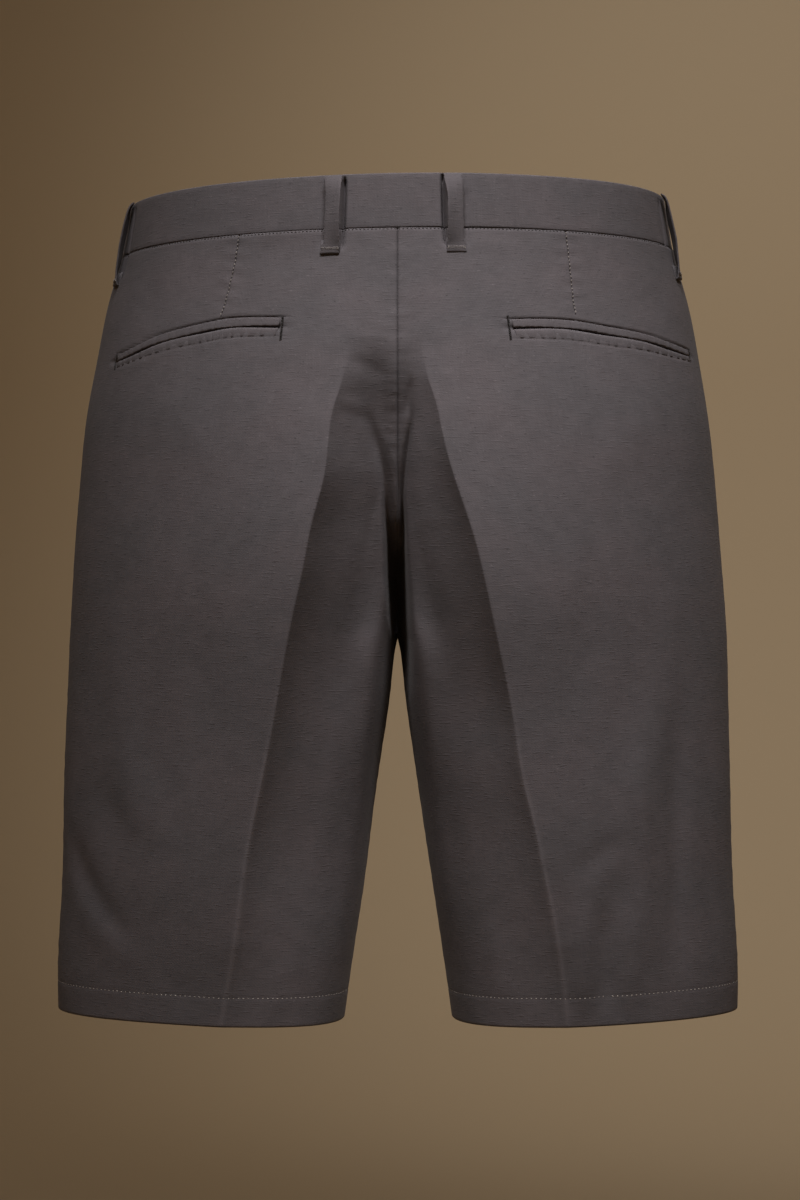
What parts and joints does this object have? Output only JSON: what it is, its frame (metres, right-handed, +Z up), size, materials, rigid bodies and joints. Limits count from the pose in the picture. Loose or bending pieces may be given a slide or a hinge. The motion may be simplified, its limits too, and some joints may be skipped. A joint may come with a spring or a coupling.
{
  "type": "bermuda shorts",
  "caption": "Tailored knee-length shorts in slubby cotton-linen cloth, pressed creases, welt back pockets, held open in their worn shape.",
  "frame": {"origin": "middle of the waist opening, halfway up the waistband, where the wearer's waist holds the shorts up", "axes": "+Z up, towards the waist; -Y towards the front (the fly), +Y towards the seat; +X towards the wearer's left"},
  "size_m": [0.4252, 0.2482, 0.5144],
  "materials": {
    "cloth": "matte",
    "trim": "matte",
    "button": "satin"
  },
  "bodies": {
    "root": {"back_left": "cloth", "back_right": "cloth", "front_left": "cloth", "front_right": "cloth", "waistband": "cloth", "belt_loop_back_left": "trim", "belt_loop_back_right": "trim", "belt_loop_side_left": "trim", "belt_loop_side_right": "trim", "belt_loop_front_left": "trim", "belt_loop_front_right": "trim", "pocket_welt_upper_left": "trim", "pocket_welt_upper_right": "trim", "pocket_welt_lower_left": "trim", "pocket_welt_lower_right": "trim", "fly_shield": "trim", "waist_button": "button"}
  },
  "joints": []
}
